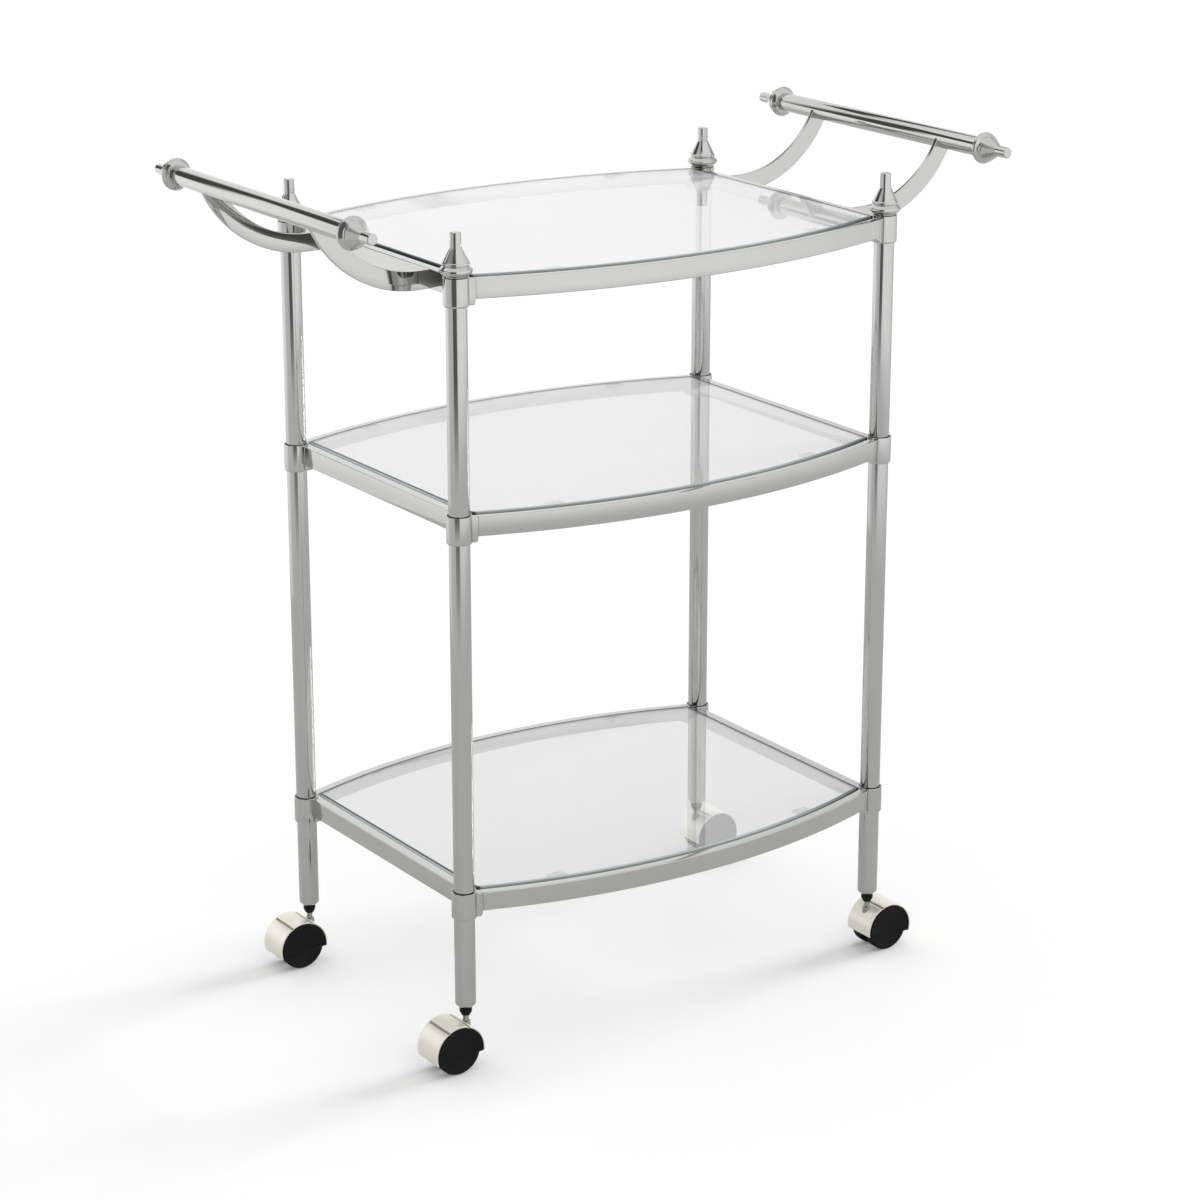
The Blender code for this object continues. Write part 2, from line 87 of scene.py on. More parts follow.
class TrolleySizes(PropertyGroup):
    """Sizes of the finished surfaces"""
    post_radius: length("Post radius", "Outside radius of the post tubes", 10.7 * MM)
    tube_wall: length("Tube wall", "Wall of the post and handle tubes", 1.5 * MM)
    seat_gap: length("Seat gap", "Gap between pieces that seat on each other", 0.3 * MM)
    leg_mouth: length("Leg mouth", "Radius of the spun-in mouth at a leg's lower end", 6.8 * MM)
    leg_spin: length("Leg spin", "Height over which a leg's lower end is spun in", 3.6 * MM)
    leg_round: length("Leg round", "Rounding of a leg's ends", 0.8 * MM)
    small_round: length("Small round", "Rounding of the collars, glass tabs and wheels", 0.5 * MM)
    collar_wall: length("Collar wall", "Thickness of a collar round its post", 2.3 * MM)
    collar_groove: length("Collar groove", "Width of the groove round the post in a collar's top", 1.3 * MM)
    groove_depth: length("Groove depth", "Depth of the groove in a collar's top", 3 * MM)
    rail_height: length("Rail height", "Height of a shelf rail", 20 * MM)
    bowed_width: length("Bowed rail width", "Width of the front and back rails", 11.5 * MM)
    end_width: length("End rail width", "Width of the straight end rails", 12 * MM)
    bow_rise: length("Bow rise", "How far the front and back rails bow out", 48 * MM)
    seam_reach: length("Seam place", "From a post's axis to the seam of its corner block", 15.4 * MM)
    seam: length("Seam", "Width of the seam between a rail and a corner block", 0.35 * MM)
    web_stop: length("Web stop", "How far a corner block's foot stays above its collar's", 1 * MM)
    rail_round: length("Rail round", "Rounding of the rails' edges", 0.9 * MM)
    glass_proud: length("Glass proud", "How far the glass stands above the rails", 1.5 * MM)
    glass_gap: length("Glass gap", "Gap between the glass and the rails", 0.5 * MM)
    glass_round: length("Glass round", "Rounding of the glass edges", 0.5 * MM)
    glass_border: length("Glass border", "Width of the ground border of a pane", 3.2 * MM)
    tab_place: length("Tab place", "From the shelf's middle to a glass tab", 158 * MM)
    tab_width: length("Tab width", "Width and reach of a glass tab", 18 * MM)
    tab_thickness: length("Tab thickness", "Thickness of a glass tab", 3 * MM)
    spigot: length("Spigot", "Length of a finial's plain end inside its tube", 12 * MM)
    finial_round: length("Finial round", "Rounding of a finial's corners", 0.45 * MM)
    bar_radius: length("Bar radius", "Outside radius of the handle bars", 10.3 * MM)
    arm_width: length("Arm width", "Width of the flat handle arms", 19.5 * MM)
    arm_thickness: length("Arm thickness", "Thickness of the flat handle arms", 5 * MM)
    arm_straight: length("Arm straight", "Straight length of an arm at the rail", 14 * MM)
    arm_short: length("Arm short", "How far an arm stops short of the handle bar's axis", 3.5 * MM)
    arm_round: length("Arm round", "Rounding of an arm's edges", 0.7 * MM)
    wheel_radius: length("Wheel radius", "Radius of the caster wheels", 25 * MM)
    wheel_width: length("Wheel width", "Width of a caster wheel", 11.2 * MM)
    axle_hole: length("Axle hole", "Radius of the hole in a wheel", 3.4 * MM)
    wheel_hub: length("Wheel hub", "Radius of the raised hub of a wheel's sides", 7 * MM)
    wheel_rim: length("Wheel rim", "Width of the raised rim of a wheel's sides", 5 * MM)
    wheel_dish: length("Wheel dish", "Depth of the dish between hub and rim", 1 * MM)
    tread_round: length("Tread round", "Rounding of a wheel's tread", 1.6 * MM)
    wheel_room: length("Wheel room", "Room beside a wheel in its housing", 0.8 * MM)
    web_half: length("Web half", "Half the thickness of a housing's middle web", 5.5 * MM)
    cap_thickness: length("Cap thickness", "Thickness of a housing's side caps", 2.7 * MM)
    roof_wall: length("Roof wall", "Thickness of a housing's roof", 1.3 * MM)
    housing_drop: length("Housing drop", "How far a housing reaches below the axle", 5.5 * MM)
    trail: length("Caster trail", "From the stem's axis to the axle", 18 * MM)
    hood_radius: length("Hood radius", "Outside radius of a caster's hood", 28.9 * MM)
    hood_wall: length("Hood wall", "Thickness of a caster's hood", 1.5 * MM)
    hood_half: length("Hood half width", "Half the width of a caster's hood", 19.2 * MM)
    hood_round: length("Hood round", "Rounding of the edges of a hood and its housing", 0.6 * MM)
    hood_groove: length("Hood groove", "Depth of the two grooves across a hood", 1.2 * MM)
    groove_place: angle("Groove place", "From the top of a hood to the middle of a groove", 25)
    groove_half: angle("Groove half width", "Half the width of a groove across a hood", 2.6)
    hood_drop: length("Hood drop", "How far a hood reaches below the axle", 6 * MM)
    hood_tilt: angle("Hood tilt", "How far a hood and its housing lean down behind", 4.5)
    stem_radius: length("Stem radius", "Radius of a caster's stem", 3 * MM)
    shoulder_radius: length("Shoulder radius", "Radius of a stem's shoulder", 4.8 * MM)
    shoulder_below: length("Shoulder below", "How far the shoulder goes into the hood", 5 * MM)
    shoulder_rim: length("Shoulder rim", "Height of the shoulder's rim above the hood", 2.2 * MM)
    shoulder_top: length("Shoulder top", "Height of the shoulder's top above the hood", 3 * MM)
    stem_round: length("Stem round", "Rounding of the stems, sockets and housing caps", 0.4 * MM)
    socket_foot: length("Socket foot", "Radius of a caster socket's lower end", 4.3 * MM)
    socket_straight: length("Socket straight", "Straight height of a caster socket below its leg", 5 * MM)
    turn_steps: IntProperty(name="Turn steps", description="Facets round a turned piece", default=72, min=12)


class TrolleyColours(PropertyGroup):
    """Colours of the finishes"""
    chrome: colour("Chrome", "Polished posts, rails and handles", (0.54, 0.54, 0.53))
    nickel: colour("Warm nickel", "Caster hoods", (0.85, 0.82, 0.74))
    # Painted shade: a darker tone for the grooves across the caster hoods, where shade falls.
    tarnish: colour("Painted groove shade", "Grooves across the caster hoods", (0.3, 0.28, 0.235))
    steel: colour("Plain steel", "Caster stems and axles", (0.42, 0.42, 0.41))
    glass: colour("Clear glass", "Shelf panes", (0.957, 0.965, 0.961))
    glass_film: colour("Glass film", "Pale film on the panes", (0.93, 0.94, 0.935))
    glass_shadow: colour("Glass shadow", "What a pane lets through into its shadow", (0.94, 0.965, 0.955))
    glass_edge: colour("Glass edge", "Dark green edges of a pane", (0.03, 0.05, 0.045))
    # Painted reflection and painted highlight colours for the pane edges, set by place and not by light.
    edge_painted_reflection: colour("Pale edge", "Front edge of a pane", (0.46, 0.5, 0.48))
    edge_painted_highlight: colour("Bright edge", "Left side faces of the two lower panes", (0.82, 0.9, 0.88))
    plastic: colour("Black plastic", "Caster bodies and sockets", (0.006, 0.006, 0.0065))
    tread: colour("Tread", "Caster wheels", (0.009, 0.009, 0.0095))
    floor: colour("Floor", "Studio floor", (0.95, 0.95, 0.945))
    floor_mirrored: colour("Mirrored floor", "Studio floor as polished metal shows it", (0.615, 0.615, 0.605))
    wall_panel: colour("Wall panel", "Dark panel of the studio wall", (0.09, 0.09, 0.088))


class TrolleyStage(PropertyGroup):
    """Camera and light"""
    azimuth: angle("Azimuth", "How far the camera stands to the left of the cart's front", 34.4)
    elevation: angle("Elevation", "Camera's height above the horizon", 18)
    distance: length("Distance", "From the camera to the point it looks at", 3.618)
    look_forward: length("Look forward", "How far in front of the cart's middle the camera looks", 0.0209)
    look_height: length("Look height", "Height of the point the camera looks at", 0.4166)
    lens: factor("Lens", "Focal length in millimetres on a 36 mm sensor", 102.0)
    key: factor("Key", "Strength of the sun lamp", 2.5)
    key_angle: angle("Key angle", "Softness of the sun lamp", 24)
    key_aim: FloatVectorProperty(name="Key aim", description="Direction in which the sun lamp shines",
                                 default=(-0.92, 0.0, -0.32), subtype="DIRECTION")
    dome: factor("Dome", "Strength of the world's soft light", 0.845)
    floor_white: factor("Floor white", "Share of plain white in the floor as it is seen", 0.1)
    wall_radius: length("Wall radius", "Radius of the studio wall that the metal mirrors", 1.7)
    wall_height: length("Wall height", "Height of the studio wall", 3.0)


class Signal:
    """A node's output, used in Python expressions; each operator adds one Math node."""

    def __init__(self, shade, socket):
        self.shade = shade
        self.socket = socket

    def math(self, operation, first, second):
        return self.shade.node("ShaderNodeMath", {"operation": operation}, {0: first, 1: second})

    def __add__(self, other):
        return self.math("ADD", self, other)

    __radd__ = __add__

    def __mul__(self, other):
        return self.math("MULTIPLY", self, other)

    __rmul__ = __mul__

    def __sub__(self, other):
        return self.math("SUBTRACT", self, other)

    def __rsub__(self, other):
        return self.math("SUBTRACT", other, self)

    def most(self, other):
        return self.math("MAXIMUM", self, other)


class Shade:
    """A material's or a world's node tree; every node is made by node()."""

    def __init__(self, owner):
        owner.use_nodes = True
        self.owner = owner
        self.tree = owner.node_tree
        self.tree.nodes.clear()

    def node(self, kind, settings=None, inputs=None, output=0):
        """Adds a node, makes its settings, then sets or links its sockets, and returns one output."""
        made = self.tree.nodes.new(kind)
        for key, value in (settings or {}).items():
            if key == "stops":
                self.set_stops(made.color_ramp, value)
            else:
                setattr(made, key, value)
        for key, value in (inputs or {}).items():
            self.feed(made.inputs[key], value)
        return Signal(self, made.outputs[output]) if made.outputs else None

    def feed(self, socket, value):
        if isinstance(value, Signal):
            self.tree.links.new(value.socket, socket)
        elif socket.type == "RGBA" and len(value) == 3:
            socket.default_value = (*value, 1.0)
        else:
            socket.default_value = value

    def set_stops(self, ramp, stops):
        while len(ramp.elements) < len(stops):
            ramp.elements.new(0.5)
        for element, (place, grey) in zip(ramp.elements, stops):
            element.position = place
            element.color = (grey, grey, grey, 1.0)

    def position(self):
        return self.node("ShaderNodeTexCoord", output="Object")

    def noise(self, scale, detail=3.0, stretch=(1.0, 1.0, 1.0)):
        """Noise on Object coordinates from 0 to 1, finer along an axis with a larger stretch."""
        mapped = self.node("ShaderNodeMapping", None, {"Vector": self.position(), "Scale": stretch})
        return self.node("ShaderNodeTexNoise", None, {"Vector": mapped, "Scale": scale, "Detail": detail})

    def step(self, value, start, end):
        """A smooth step from 0 at start to 1 at end."""
        return self.node("ShaderNodeMapRange", {"interpolation_type": "SMOOTHSTEP"},
                         {0: value, 1: start, 2: end, 3: 0.0, 4: 1.0})

    def blend(self, amount, first, second):
        return self.node("ShaderNodeMix", {"data_type": "RGBA"}, {0: amount, 6: first, 7: second}, 2)

    def bump(self, height, strength, distance):
        inputs = {"Height": height, "Strength": strength, "Distance": distance}
        return self.node("ShaderNodeBump", None, inputs)

    def principled(self, inputs):
        return self.node("ShaderNodeBsdfPrincipled", None, inputs)

    def mixed(self, amount, first, second):
        return self.node("ShaderNodeMixShader", None, {0: amount, 1: first, 2: second})

    def ray(self, kind):
        return self.node("ShaderNodeLightPath", output=f"Is {kind} Ray")

    def finished(self, shader):
        """Puts a shader on the material and returns the material."""
        self.node("ShaderNodeOutputMaterial", None, {"Surface": shader})
        return self.owner


def new_shade(name):
    return Shade(bpy.data.materials.new(name))


def toned(shade, amount, base, low, high):
    """A colour that wanders between low and high times its base."""
    return shade.blend(amount, [channel * low for channel in base], [channel * high for channel in base])


def polished(name, base, roughness, metal=1.0):
    """Bright plating: faint clouds of tone, a fine polishing haze and a slight wave in what it mirrors."""
    shade = new_shade(name)
    cloud = shade.noise(9.0, 4.0)
    haze = shade.noise(160.0, 2.0)
    wave = shade.noise(26.0, 1.0)
    return shade.finished(shade.principled({
        "Base Color": toned(shade, cloud, base, 0.95, 1.05), "Metallic": metal,
        "Roughness": roughness + cloud * 0.02 + haze * 0.03,
        "Normal": shade.bump(wave, 0.05, 0.6 * MM)}))


def turned_steel(name, base):
    """Plain steel with fine turning rings and an uneven dull sheen."""
    shade = new_shade(name)
    rings = shade.noise(140.0, 3.0, (0.2, 0.2, 6.0))
    return shade.finished(shade.principled({
        "Base Color": toned(shade, rings, base, 0.82, 1.0), "Metallic": 1.0,
        "Roughness": 0.2 + rings * 0.16, "Normal": shade.bump(rings, 0.12, 0.4 * MM)}))


def clear_glass(name, colours):
    """Bright plate glass with a pale film that shows more the flatter one looks along it, and the faintest
    wipe marks; light passes, so its shadow stays pale."""
    shade = new_shade(name)
    wipe = shade.noise(5.0, 5.0, (1.0, 3.0, 1.0))
    pane = shade.principled({"Base Color": toned(shade, wipe, colours.glass, 0.99, 1.0),
                             "Roughness": wipe * 0.004, "IOR": 1.9, "Transmission Weight": 1.0})
    film = shade.node("ShaderNodeBsdfDiffuse", None, {"Color": colours.glass_film})
    flatness = shade.node("ShaderNodeLayerWeight", None, {"Blend": 0.5}, "Facing")
    pane = shade.mixed(flatness * (0.29 + wipe * 0.04), pane, film)
    passing = shade.node("ShaderNodeBsdfTransparent", None, {"Color": colours.glass_shadow})
    return shade.finished(shade.mixed(shade.ray("Shadow"), pane, passing))


def green_edge(name, colours):
    """The ground border of the glass, its tone painted by place as one side sees it: the real dark green at
    the two ends and along the back, painted darker where one looks into the pane, a painted pale reflection
    along the front until near its right corner, and a painted highlight on the left side faces of the two
    lower panes."""
    shade = new_shade(name)
    sizes = bpy.context.scene.trolley_sizes
    bands = shade.noise(14.0, 2.0, (1.0, 1.0, 0.1))
    place = shade.position()
    x, y, z = (shade.node("ShaderNodeSeparateXYZ", None, {0: place}, axis) for axis in range(3))
    top_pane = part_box("shelf_glass_top")
    side = top_pane[1].x
    end = side - sizes.glass_border
    at_ends = shade.step(x * x, (end - sizes.glass_border) ** 2, end ** 2)
    # Painted shade: the edge is darker by place at both ends, along the back and towards the right, where one
    # looks into the pane.
    dark = at_ends.most(shade.step(y, 0.0, sizes.glass_border)).most(0.7 * shade.step(x, 0.2 * end, end))
    # Painted reflection: elsewhere along the front the edge takes a pale tone.
    tone = shade.blend(dark, colours.edge_painted_reflection, toned(shade, bands, colours.glass_edge, 0.6, 1.9))
    # Painted highlight: the left side faces of the two lower panes are made bright.
    painted_highlight_mask = shade.step(x, 0.8 * sizes.glass_round - side, 0.2 * sizes.glass_round - side)
    lower = shade.step(z, top_pane[0].z, top_pane[0].z - sizes.rail_height)
    tone = shade.blend(painted_highlight_mask * lower, tone, colours.edge_painted_highlight)
    return shade.finished(shade.principled({
        "Base Color": tone, "Roughness": 0.06 + bands * 0.06, "Specular IOR Level": 0.2}))


def moulded(name, base, roughness):
    """Moulded black: fine grain in the surface and a little dust-grey variation."""
    shade = new_shade(name)
    grain = shade.noise(900.0, 2.0)
    dust = shade.noise(30.0, 4.0)
    return shade.finished(shade.principled({
        "Base Color": toned(shade, dust, base, 0.8, 1.7), "Roughness": roughness + dust * 0.12,
        "Specular IOR Level": 0.1, "Normal": shade.bump(grain, 0.12, 0.2 * MM)}))


def finish_of(slot):
    """The material of one finish, made the first time it is asked for."""
    name = "finish_" + slot
    if name in bpy.data.materials:
        return bpy.data.materials[name]
    colours = bpy.context.scene.trolley_colours
    makers = {
        "chrome": lambda: polished(name, colours.chrome, 0.03),
        # Painted shade for the hood grooves: a darker copy of the nickel finish.
        "nickel": lambda: polished(name, colours.nickel, 0.3, 0.45),
        "tarnish": lambda: polished(name, colours.tarnish, 0.4, 0.45),
        "steel": lambda: turned_steel(name, colours.steel),
        "glass": lambda: clear_glass(name, colours),
        "glass_edge": lambda: green_edge(name, colours),
        "black_plastic": lambda: moulded(name, colours.plastic, 0.34),
        "wheel": lambda: moulded(name, colours.tread, 0.5),
    }
    return makers[slot]()


class Shell:
    """A closed surface held as arrays: points, four-sided faces, three-sided faces, and which of the
    four-sided faces take a second finish."""

    def __init__(self, points, quads, triangles, singled=None):
        self.points = np.asarray(points, float).reshape(-1, 3)
        self.quads = quads.reshape(-1, 4)
        self.triangles = triangles.reshape(-1, 3)
        halves = np.concatenate([self.quads[:, [0, 1, 2]], self.quads[:, [0, 2, 3]], self.triangles])
        first, second, third = (self.points[halves[:, k]] for k in range(3))
        if np.sum(first * np.cross(second, third)) < 0:
            self.quads = self.quads[:, ::-1]
            self.triangles = self.triangles[:, ::-1]
        self.singled = np.zeros(len(self.quads), bool) if singled is None else singled

    def mapped(self, points):
        """The same faces on other points, turned outwards again if the points mirror it."""
        return Shell(points, self.quads, self.triangles, self.singled)

    def moved(self, offset):
        return self.mapped(self.points + np.asarray(offset, float))

    def signed(self, x_side, y_side):
        """Mirrors a shape across the planes whose side is -1."""
        return self.mapped(self.points * (x_side, y_side, 1.0))

    def lying(self, sign):
        """Lays a shape made along +Z along Y, towards the sign given."""
        x, y, z = self.points.T
        return self.mapped(np.stack([x, sign * z, y], axis=1))


def grid_quads(rows, columns, wrap_rows=False):
    """Faces of a grid that is closed round its columns, and round its rows too if asked."""
    row = np.arange(rows if wrap_rows else rows - 1)[:, None]
    column = np.arange(columns)[None, :]
    next_row = (row + 1) % rows
    next_column = (column + 1) % columns
    corners = [row * columns + column, row * columns + next_column,
               next_row * columns + next_column, next_row * columns + column]
    return np.stack(np.broadcast_arrays(*corners), axis=-1).reshape(-1, 4)


def fan(centre, first, count):
    """Triangles from a centre point to each pair of neighbours in a closed row."""
    step = np.arange(count)
    return np.stack([np.full(count, centre), first + step, first + (step + 1) % count], axis=1)


def capped(points, low_centre=None, high_centre=None):
    """A grid of points closed round its columns, with a fan to a centre point over each end row."""
    rows, columns = points.shape[:2]
    low_centre = points[0].mean(axis=0) if low_centre is None else low_centre
    high_centre = points[-1].mean(axis=0) if high_centre is None else high_centre
    every = np.concatenate([points.reshape(-1, 3), [low_centre, high_centre]])
    low = fan(rows * columns, 0, columns)[:, ::-1]
    high = fan(rows * columns + 1, (rows - 1) * columns, columns)
    return Shell(every, grid_quads(rows, columns), np.concatenate([low, high]))


def softened(corners, cut, steps=4, closed=False):
    """Rounds a flat line's corners: each is a quadratic arc from cut before it to cut after it, and a
    cut takes up less than half of a short side."""
    line = np.asarray(corners, float)
    back = np.roll(line, 1, axis=0) - line
    ahead = np.roll(line, -1, axis=0) - line
    back_length = np.linalg.norm(back, axis=1)[:, None]
    ahead_length = np.linalg.norm(ahead, axis=1)[:, None]
    reach = np.minimum(cut, 0.45 * np.minimum(back_length, ahead_length))
    start = (line + back / back_length * reach)[:, None]
    end = (line + ahead / ahead_length * reach)[:, None]
    t = np.linspace(0, 1, steps + 1)[None, :, None]
    arcs = (1 - t) ** 2 * start + 2 * t * (1 - t) * line[:, None] + t ** 2 * end
    if closed:
        return arcs.reshape(-1, 2)
    return np.concatenate([line[:1], arcs[1:-1].reshape(-1, 2), line[-1:]])


def lathe(profile, steps, ring=False):
    """Turns a profile of (radius, height) about Z; a ring's profile is closed, others end on the axis."""
    turn = 2 * np.pi * np.arange(steps) / steps
    body = profile if ring else profile[1:-1]
    points = np.stack([body[:, :1] * np.cos(turn), body[:, :1] * np.sin(turn),
                       np.repeat(body[:, 1:], steps, axis=1)], axis=-1)
    if ring:
        return Shell(points, grid_quads(len(body), steps, wrap_rows=True), np.zeros((0, 3), int))
    return capped(points, (0, 0, profile[0, 1]), (0, 0, profile[-1, 1]))


def tube(outer, bore, start, end, softness, steps):
    """A tube along Z, as a rounded rectangle turned about the axis."""
    corners = [(bore, start), (outer, start), (outer, end), (bore, end)]
    return lathe(softened(corners, softness, closed=True), steps, ring=True)


def bar_section(width, height, softness):
    """A rectangle about the origin with rounded corners, as (across, up) points."""
    half = np.array([width, height]) / 2
    return softened(np.array([(-1, -1), (1, -1), (1, 1), (-1, 1)]) * half, softness, closed=True)


def bar_between(outer, inner, middle, height, softness, drop=0.0):
    """A bar between two plan lines at a middle height: a rounded section spans from line to line at
    each station, and its lower half hangs lower by the station's drop."""
    width = np.linalg.norm(outer[0] - inner[0])
    section = bar_section(width, height, softness)
    share = section[:, 0] / width + 0.5
    plan = inner[:, None] + share[None, :, None] * (outer - inner)[:, None]
    sag = (section[:, 1] < 0) * np.broadcast_to(drop, len(outer))[:, None]
    z = middle + section[None, :, 1] - sag
    return capped(np.concatenate([plan, z[..., None]], axis=-1))


def slab(outline, levels):
    """A plate: its outline, a function of an inset, stacked at (inset, height) levels and closed flat."""
    rows = []
    for inset, height in levels:
        plan = outline(inset)
        rows.append(np.column_stack([plan, np.full(len(plan), height)]))
    return capped(np.stack(rows))


def make_piece(name, shells, slot, body, nodes=(), second_slot=None):
    """Joins shells into one mesh, gives it its finish and says which body carries it. With a second
    slot, the faces that the shells single out take that finish."""
    starts = np.cumsum([0] + [len(shell.points) for shell in shells])
    points = np.concatenate([shell.points for shell in shells])
    quads = np.concatenate([shell.quads + start for shell, start in zip(shells, starts)])
    triangles = np.concatenate([shell.triangles + start for shell, start in zip(shells, starts)])
    mesh = bpy.data.meshes.new(name)
    mesh.from_pydata(points.tolist(), [], quads.tolist() + triangles.tolist())
    mesh.materials.append(finish_of(slot))
    if second_slot:
        mesh.materials.append(finish_of(second_slot))
        singled = np.concatenate([shell.singled for shell in shells])
        mesh.polygons.foreach_set("material_index", np.append(singled, np.zeros(len(triangles))).astype(int))
    mesh.shade_smooth()
    mesh.set_sharp_from_angle(angle=SHARP_ANGLE)
    piece = bpy.data.objects.new(name, mesh)
    bpy.context.scene.collection.objects.link(piece)
    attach(piece, body)
    if nodes:
        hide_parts(*nodes)


def node_middle(node):
    low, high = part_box(node)
    return (low + high) / 2


def post_place(corner):
    middle = node_middle("leg_" + corner)
    return np.array([middle.x, middle.y, 0.0])


def rail_middle(level):
    sizes = bpy.context.scene.trolley_sizes
    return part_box("shelf_glass_" + level)[1].z - sizes.glass_proud - sizes.rail_height / 2


def frame_half():
    """Half the length of a shelf frame, to the outer faces of its end rails."""
    sizes = bpy.context.scene.trolley_sizes
    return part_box("shelf_glass_top")[1].x + sizes.glass_gap + sizes.end_width


def bow(x, inset):
    """Points (x, y) of the bowed rail's outer face moved in by inset: a circular arc through the
    middle of the frame's box and, bow rise lower, through its corners."""
    rise = bpy.context.scene.trolley_sizes.bow_rise
    radius = (frame_half() ** 2 + rise ** 2) / (2 * rise)
    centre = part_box("shelf_frame_top")[1].y - radius
    return np.column_stack([x, centre + np.sqrt((radius - inset) ** 2 - x ** 2)])


class TROLLEY_OT_posts(Operator):
    """Make the legs and the post tubes"""
    bl_idname = "trolley.posts"
    bl_label = "Posts"

    def execute(self, context):
        sizes = context.scene.trolley_sizes
        outer = sizes.post_radius
        bore = outer - sizes.tube_wall
        for kind in ("leg", "lower_post", "upper_post"):
            for corner in CORNERS:
                node = f"{kind}_{corner}"
                low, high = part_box(node)
                if kind == "leg":
                    shell = self.leg(sizes, low.z, high.z)
                else:
                    shell = tube(outer, bore, low.z, high.z, sizes.seat_gap, sizes.turn_steps)
                make_piece("tube_" + node, [shell.moved(post_place(corner))], "chrome", "cart", [node])
        return {"FINISHED"}

    def leg(self, sizes, low, high):
        """A tube whose lower end is spun in to a smaller mouth."""
        outer, mouth = sizes.post_radius, sizes.leg_mouth
        bore = outer - sizes.tube_wall
        shoulder = low + sizes.leg_spin
        corners = [(mouth, low), (mouth + sizes.seat_gap, low), (outer, shoulder), (outer, high),
                   (bore, high), (bore, shoulder), (mouth, low + sizes.tube_wall)]
        return lathe(softened(corners, sizes.leg_round, closed=True), sizes.turn_steps, ring=True)


class TROLLEY_OT_frames(Operator):
    """Make the shelf frames: bowed rails, end rails, corner blocks, collars and glass tabs"""
    bl_idname = "trolley.frames"
    bl_label = "Shelf frames"

    def execute(self, context):
        sizes = context.scene.trolley_sizes
        for level in LEVELS:
            middle = rail_middle(level)
            rails = self.rails(sizes, middle)
            make_piece("rails_" + level, rails, "chrome", "cart", ["shelf_frame_" + level])
            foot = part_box("shelf_frame_" + level)[0].z + sizes.web_stop
            web_drop = middle - sizes.rail_height / 2 - foot
            blocks = self.corner_blocks(sizes, middle, web_drop)
            make_piece("corner_blocks_" + level, blocks, "chrome", "cart")
            make_piece("collars_" + level, self.collars(sizes, level), "chrome", "cart")
            make_piece("glass_tabs_" + level, self.tabs(sizes, level), "chrome", "cart")
        return {"FINISHED"}

    def rails(self, sizes, middle):
        """Two bowed rails and two straight ones, from seam to seam."""
        post = post_place("back_right")
        x = np.linspace(-1, 1, BOW_POINTS) * (post[0] - sizes.seam_reach)
        bowed = bar_between(bow(x, 0), bow(x, sizes.bowed_width), middle, sizes.rail_height, sizes.rail_round)
        y = np.array([-1, 1]) * (post[1] - sizes.seam_reach)
        outer = np.column_stack([np.full(2, frame_half()), y])
        inner = outer - (sizes.end_width, 0)
        straight = bar_between(outer, inner, middle, sizes.rail_height, sizes.rail_round)
        return [bowed.signed(1, 1), bowed.signed(1, -1), straight.signed(1, 1), straight.signed(-1, 1)]

    def corner_blocks(self, sizes, middle, web_drop):
        """L-shaped blocks: along the bow into the post and out along the end rail, with a web whose foot
        is rounded as a quarter circle and reaches web_drop down the collar."""
        post = post_place("back_right")
        near = sizes.seam_reach - sizes.seam
        step = np.linspace(0, 1, BLOCK_POINTS)
        reach = near + step * (sizes.post_radius + sizes.collar_wall - near)
        x = post[0] - reach
        y = post[1] - reach
        half = frame_half()
        inner_x = half - sizes.end_width
        outer = np.concatenate([bow(x, 0), bow(np.array([half]), 0),
                                np.column_stack([np.full_like(y, half), y])[::-1]])
        inner = np.concatenate([bow(x, sizes.bowed_width), bow(np.array([inner_x]), sizes.bowed_width),
                                np.column_stack([np.full_like(y, inner_x), y])[::-1]])
        curve = web_drop * np.sqrt(1 - (1 - step) ** 2)
        drop = np.concatenate([curve, [web_drop], curve[::-1]])
        block = bar_between(outer, inner, middle, sizes.rail_height, sizes.rail_round, drop)
        return [block.signed(*sides) for sides in CORNERS.values()]

    def collars(self, sizes, level):
        """Turned sleeves round the posts, with a groove in the top and a rounded foot."""
        low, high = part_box("shelf_frame_" + level)
        bore = sizes.post_radius + sizes.seat_gap / 2
        outer = sizes.post_radius + sizes.collar_wall
        groove = sizes.post_radius + sizes.collar_groove
        floor = high.z - sizes.groove_depth
        foot = 0.6 * sizes.collar_wall
        corners = [(bore, low.z), (outer - foot / 2, low.z), (outer, low.z + foot), (outer, high.z),
                   (groove, high.z), (groove, floor), (bore, floor)]
        sleeve = lathe(softened(corners, sizes.small_round, closed=True), sizes.turn_steps, ring=True)
        return [sleeve.moved(post_place(corner)) for corner in CORNERS]

    def tabs(self, sizes, level):
        """Small plates on the bowed rails that carry the glass."""
        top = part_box("shelf_glass_" + level)[0].z - sizes.seat_gap
        wall = bow(np.array([sizes.tab_place]), sizes.bowed_width)[0, 1]
        y = np.array([wall + sizes.tab_thickness, wall - sizes.tab_width])
        x = np.full(2, sizes.tab_place)
        half = sizes.tab_width / 2
        tab = bar_between(np.column_stack([x + half, y]), np.column_stack([x - half, y]),
                          top - sizes.tab_thickness / 2, sizes.tab_thickness, sizes.small_round)
        return [tab.signed(*sides) for sides in CORNERS.values()]


